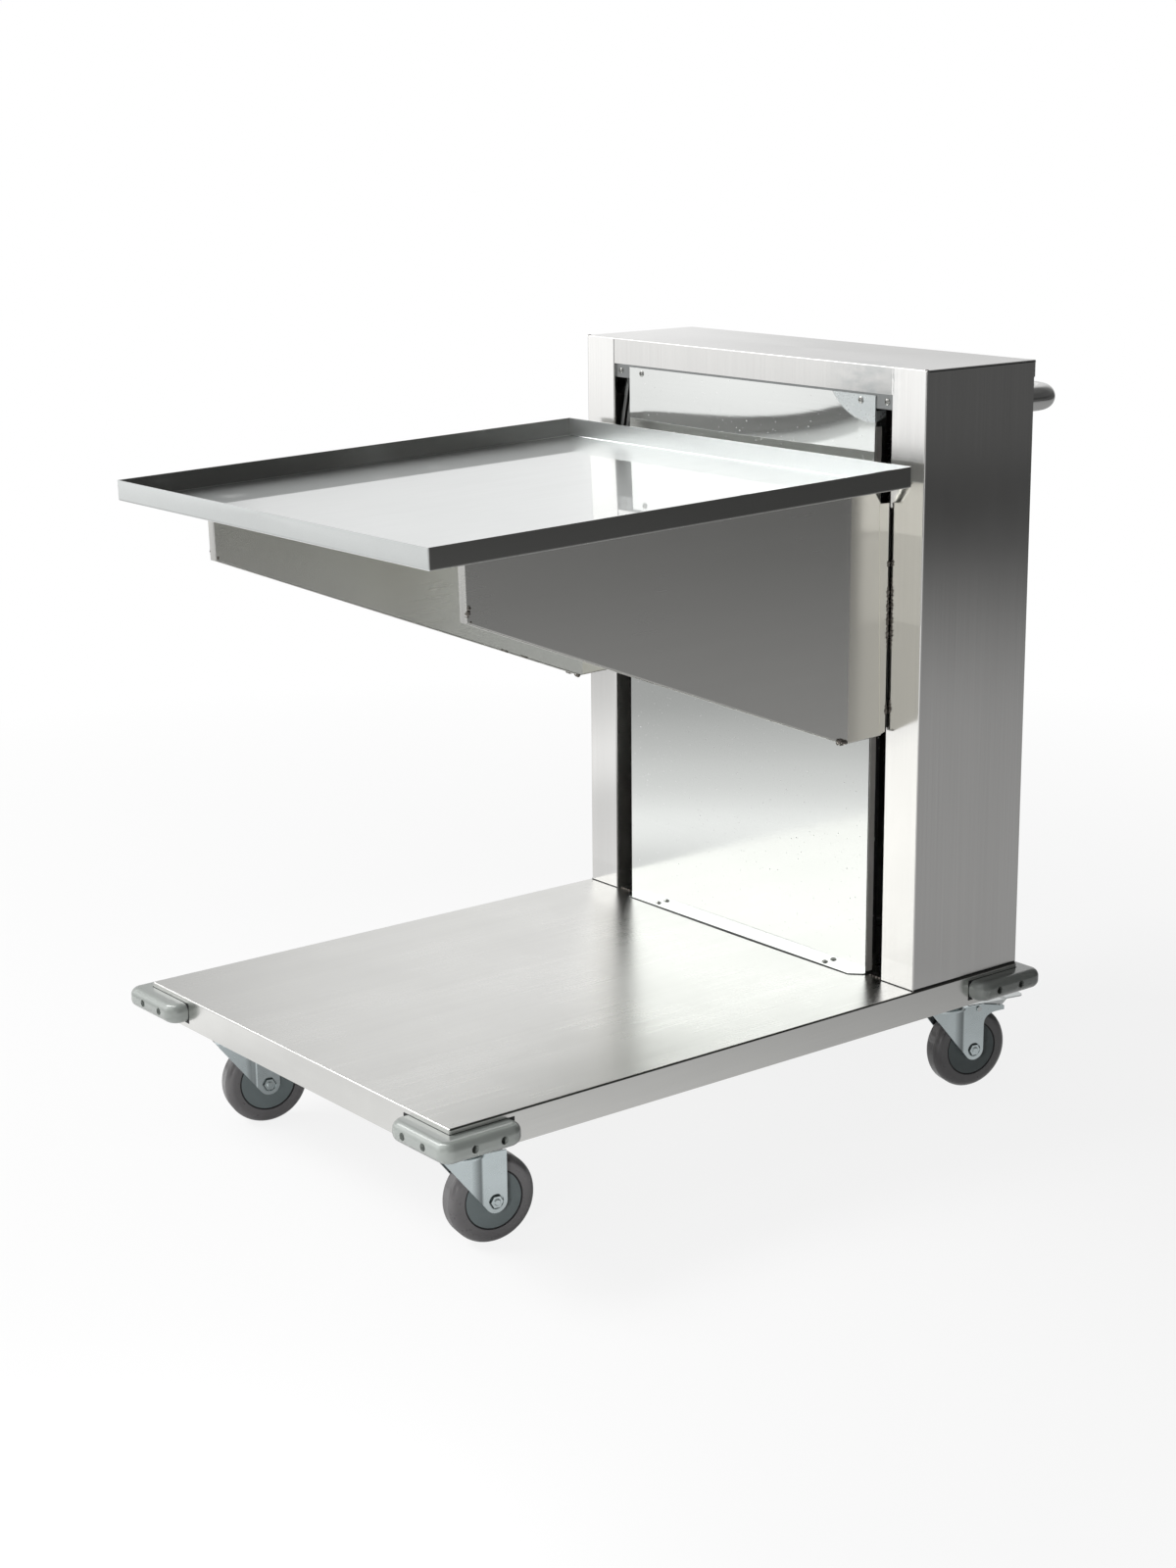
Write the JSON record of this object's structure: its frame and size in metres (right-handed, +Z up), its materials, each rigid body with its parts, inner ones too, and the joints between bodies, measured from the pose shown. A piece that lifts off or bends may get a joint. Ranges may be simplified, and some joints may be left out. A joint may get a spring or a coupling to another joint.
{
  "type": "tray dispenser trolley",
  "caption": "Wheeled tray dispenser trolley: a low deck with bumpers and a rear tower whose springs lift a cantilever tray shelf on guide rollers, with swivel casters and a push handle.",
  "frame": {"origin": "on the floor, under the middle of the whole trolley", "axes": "+X to the right of the trolley, +Y to the rear, where the handle is, +Z up"},
  "size_m": [0.646, 0.9484, 0.8825],
  "materials": {
    "deck_steel": "folded stainless sheet, fine brushed grain",
    "tower_steel": "folded stainless sheet, fine upright brushed grain",
    "shelf_steel": "stainless sheet with a bright brushed floor",
    "bracket_steel": "folded stainless sheet with welds at its rear edge",
    "handle_steel": "brushed stainless tube",
    "inner_steel": "plain steel plate and channel, unpolished",
    "spring_steel": "oiled spring wire",
    "screw_steel": "bright stainless fasteners",
    "zinc_steel": "pressed steel with a bluish zinc coat",
    "pedal_steel": "stamped steel with a bluish zinc coat",
    "bumper_plastic": "moulded grey plastic, softly matt",
    "buffer_rubber": "black rubber",
    "tread_rubber": "grey rubber tread with a fine parting line",
    "hub_plastic": "dark blue-grey moulded plastic",
    "roller_plastic": "off-white nylon"
  },
  "bodies": {
    "chassis": {"deck_pan": "deck_steel", "tower_side_left": "tower_steel", "tower_side_right": "tower_steel", "tower_top": "tower_steel", "tower_back": "tower_steel", "front_cover": "tower_steel", "push_handle": "handle_steel", "deck_rail_front": "inner_steel", "deck_rail_rear": "inner_steel", "cover_rail": "inner_steel", "guide_rail_left": "inner_steel", "guide_rail_right": "inner_steel", "rail_clips": "inner_steel", "spring_hanger": "inner_steel", "lift_springs": "spring_steel", "swivel_balls": "spring_steel", "bumper_screws": "screw_steel", "panel_screws": "screw_steel", "handle_screws": "screw_steel", "caster_bolts": "screw_steel", "kingpins": "screw_steel", "caster_plate_front_left": "zinc_steel", "caster_plate_front_right": "zinc_steel", "caster_plate_rear_left": "zinc_steel", "caster_plate_rear_right": "zinc_steel", "corner_bumper_front_left": "bumper_plastic", "corner_bumper_front_right": "bumper_plastic", "corner_bumper_rear_left": "bumper_plastic", "corner_bumper_rear_right": "bumper_plastic", "stop_buffers": "buffer_rubber"},
    "lift_carriage": {"shelf_pan": "shelf_steel", "shelf_bracket_left": "bracket_steel", "shelf_bracket_right": "bracket_steel", "arm_plate_left": "inner_steel", "arm_plate_right": "inner_steel", "carriage_bar": "inner_steel", "spring_bar": "inner_steel", "roller_axles": "inner_steel"},
    "guide_roller_lower_left": {"guide_roller_lower_left": "roller_plastic"},
    "guide_roller_lower_right": {"guide_roller_lower_right": "roller_plastic"},
    "guide_roller_upper_left": {"guide_roller_upper_left": "roller_plastic"},
    "guide_roller_upper_right": {"guide_roller_upper_right": "roller_plastic"},
    "caster_fork_front_left": {"fork_front_left": "zinc_steel", "axle_set_front_left": "screw_steel"},
    "caster_wheel_front_left": {"wheel_tread_front_left": "tread_rubber", "wheel_hub_front_left": "hub_plastic"},
    "caster_fork_front_right": {"fork_front_right": "zinc_steel", "axle_set_front_right": "screw_steel"},
    "caster_wheel_front_right": {"wheel_tread_front_right": "tread_rubber", "wheel_hub_front_right": "hub_plastic"},
    "caster_fork_rear_left": {"fork_rear_left": "zinc_steel", "axle_set_rear_left": "screw_steel"},
    "caster_wheel_rear_left": {"wheel_tread_rear_left": "tread_rubber", "wheel_hub_rear_left": "hub_plastic"},
    "brake_pedal_rear_left": {"brake_pedal_rear_left": "pedal_steel"},
    "caster_fork_rear_right": {"fork_rear_right": "zinc_steel", "axle_set_rear_right": "screw_steel"},
    "caster_wheel_rear_right": {"wheel_tread_rear_right": "tread_rubber", "wheel_hub_rear_right": "hub_plastic"},
    "brake_pedal_rear_right": {"brake_pedal_rear_right": "pedal_steel"}
  },
  "joints": [
    {"name": "lift_slide", "type": "slide", "parent": "chassis", "child": "lift_carriage", "axis": [0, 0, 1], "range_m": [-0.28, 0], "stiffness_N_per_m": 2000, "springref_m": 0.15, "deforming": ["lift_springs"]},
    {"name": "roller_spin_lower_left", "type": "hinge", "parent": "lift_carriage", "child": "guide_roller_lower_left", "pos_m": [-0.2655, 0.28675, 0.5055], "axis": [1, 0, 0], "range_deg": [0, 944]},
    {"name": "roller_spin_lower_right", "type": "hinge", "parent": "lift_carriage", "child": "guide_roller_lower_right", "pos_m": [0.2655, 0.28675, 0.5055], "axis": [1, 0, 0], "range_deg": [0, 944]},
    {"name": "roller_spin_upper_left", "type": "hinge", "parent": "lift_carriage", "child": "guide_roller_upper_left", "pos_m": [-0.2655, 0.28675, 0.8005], "axis": [1, 0, 0], "range_deg": [-944, 0]},
    {"name": "roller_spin_upper_right", "type": "hinge", "parent": "lift_carriage", "child": "guide_roller_upper_right", "pos_m": [0.2655, 0.28675, 0.8005], "axis": [1, 0, 0], "range_deg": [-944, 0]},
    {"name": "caster_swivel_front_left", "type": "hinge", "parent": "chassis", "child": "caster_fork_front_left", "pos_m": [-0.2244, -0.38485, 0.106], "axis": [0, 0, 1], "continuous": true},
    {"name": "wheel_spin_front_left", "type": "hinge", "parent": "caster_fork_front_left", "child": "caster_wheel_front_left", "pos_m": [-0.21674, -0.35481, 0.05], "axis": [0.969, -0.247, 0], "continuous": true},
    {"name": "caster_swivel_front_right", "type": "hinge", "parent": "chassis", "child": "caster_fork_front_right", "pos_m": [0.2244, -0.38485, 0.106], "axis": [0, 0, 1], "continuous": true},
    {"name": "wheel_spin_front_right", "type": "hinge", "parent": "caster_fork_front_right", "child": "caster_wheel_front_right", "pos_m": [0.22989, -0.35434, 0.05], "axis": [0.9842, -0.1771, 0], "continuous": true},
    {"name": "caster_swivel_rear_left", "type": "hinge", "parent": "chassis", "child": "caster_fork_rear_left", "pos_m": [-0.2244, 0.33575, 0.106], "axis": [0, 0, 1], "continuous": true},
    {"name": "wheel_spin_rear_left", "type": "hinge", "parent": "caster_fork_rear_left", "child": "caster_wheel_rear_left", "pos_m": [-0.21796, 0.36607, 0.05], "axis": [0.9781, -0.2079, 0], "continuous": true},
    {"name": "brake_press_rear_left", "type": "hinge", "parent": "caster_fork_rear_left", "child": "brake_pedal_rear_left", "pos_m": [-0.21691, 0.37096, 0.1015], "axis": [0.9781, -0.2079, 0], "range_deg": [-6, 0]},
    {"name": "caster_swivel_rear_right", "type": "hinge", "parent": "chassis", "child": "caster_fork_rear_right", "pos_m": [0.2244, 0.33575, 0.106], "axis": [0, 0, 1], "continuous": true},
    {"name": "wheel_spin_rear_right", "type": "hinge", "parent": "caster_fork_rear_right", "child": "caster_wheel_rear_right", "pos_m": [0.23127, 0.36598, 0.05], "axis": [0.9751, -0.2215, 0], "continuous": true},
    {"name": "brake_press_rear_right", "type": "hinge", "parent": "caster_fork_rear_right", "child": "brake_pedal_rear_right", "pos_m": [0.23238, 0.37085, 0.1015], "axis": [0.9751, -0.2215, 0], "range_deg": [-6, 0]}
  ],
  "couplings": [
    {"joint": "roller_spin_lower_left", "follows": "lift_slide", "rad_per_m": -58.824},
    {"joint": "roller_spin_lower_right", "follows": "lift_slide", "rad_per_m": -58.824},
    {"joint": "roller_spin_upper_left", "follows": "lift_slide", "rad_per_m": 58.824},
    {"joint": "roller_spin_upper_right", "follows": "lift_slide", "rad_per_m": 58.824}
  ]
}
